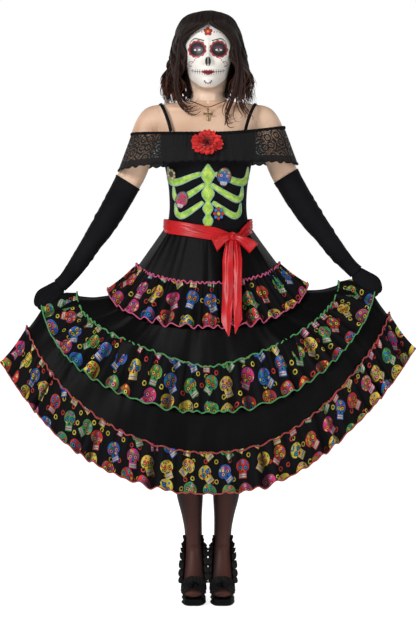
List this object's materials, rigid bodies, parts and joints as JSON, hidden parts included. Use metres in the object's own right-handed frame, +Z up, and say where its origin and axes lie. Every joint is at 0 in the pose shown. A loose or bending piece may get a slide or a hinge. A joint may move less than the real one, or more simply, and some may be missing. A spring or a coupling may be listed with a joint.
{
  "type": "papier-mache catrina figure",
  "caption": "Standing skeleton-lady display figure in a tiered flounced dress, held out at both sides by its gloved hands.",
  "frame": {"origin": "on the floor, under the middle of the figure's overall box", "axes": "+Z up, the figure faces -Y, its left hand is on +X"},
  "size_m": [1.2148, 0.5308, 1.748],
  "materials": {
    "steel": "satin",
    "wood": "matte",
    "painted_paper": "satin",
    "painted_face": "satin",
    "stocking_leg": "satin",
    "black_knit": "matte",
    "black_ribbon": "satin",
    "black_lace": "matte",
    "rose_cloth": "matte",
    "red_satin": "satin",
    "black_satin": "satin",
    "printed_cloth": "matte",
    "shoe_black": "satin",
    "cord": "matte",
    "old_brass": "satin",
    "hair": "satin"
  },
  "bodies": {
    "figure": {"spine_post": "steel", "shoulder_beam": "wood", "shoulder_rod": "steel", "neck_peg": "wood", "hip_block": "wood", "leg_rods": "steel", "torso_shell": "painted_paper", "shoulder_shell": "painted_paper", "left_leg": "stocking_leg", "right_leg": "stocking_leg", "bodice": "black_knit", "left_strap": "black_ribbon", "right_strap": "black_ribbon", "lace_front": "black_lace", "lace_back": "black_lace", "rose": "rose_cloth", "sash": "red_satin", "bow_knot": "red_satin", "bow_loops": "red_satin", "bow_tails": "red_satin", "skirt_front": "black_satin", "skirt_back": "black_satin", "ruffle_1_front": "printed_cloth", "ruffle_1_back": "printed_cloth", "ruffle_2_front": "printed_cloth", "ruffle_2_back": "printed_cloth", "ruffle_3_front": "printed_cloth", "ruffle_3_back": "printed_cloth", "left_sole": "shoe_black", "right_sole": "shoe_black", "left_heel": "shoe_black", "right_heel": "shoe_black", "left_shoe_upper": "shoe_black", "right_shoe_upper": "shoe_black", "left_shoe_back": "shoe_black", "right_shoe_back": "shoe_black", "necklace": "cord"},
    "head": {"head_shell": "painted_face", "neck_socket": "wood", "wig_crown": "hair", "wig_back": "hair", "wig_left": "hair", "wig_right": "hair"},
    "left_arm": {"left_arm": "painted_paper", "left_arm_hub": "wood", "left_glove": "black_knit", "left_hand": "black_knit", "left_lace": "black_lace", "skirt_left": "black_satin", "ruffle_2_left": "printed_cloth", "ruffle_3_left": "printed_cloth"},
    "right_arm": {"right_arm": "painted_paper", "right_arm_hub": "wood", "right_glove": "black_knit", "right_hand": "black_knit", "right_lace": "black_lace", "skirt_right": "black_satin", "ruffle_2_right": "printed_cloth", "ruffle_3_right": "printed_cloth"},
    "pendant": {"cross_pendant": "old_brass"}
  },
  "joints": [
    {"name": "head_turn", "type": "hinge", "parent": "figure", "child": "head", "pos_m": [0, 0.008, 1.5], "axis": [0, 0, 1], "range_deg": [-20, 20]},
    {"name": "left_arm_swing", "type": "hinge", "parent": "figure", "child": "left_arm", "pos_m": [0.161, 0.005, 1.418], "axis": [-1, 0, 0], "range_deg": [-10, 10]},
    {"name": "right_arm_swing", "type": "hinge", "parent": "figure", "child": "right_arm", "pos_m": [-0.161, 0.005, 1.418], "axis": [-1, 0, 0], "range_deg": [-10, 10]},
    {"name": "pendant_swing", "type": "hinge", "parent": "figure", "child": "pendant", "pos_m": [0, -0.089, 1.455], "axis": [-1, 0, 0], "range_deg": [0, 40]}
  ]
}
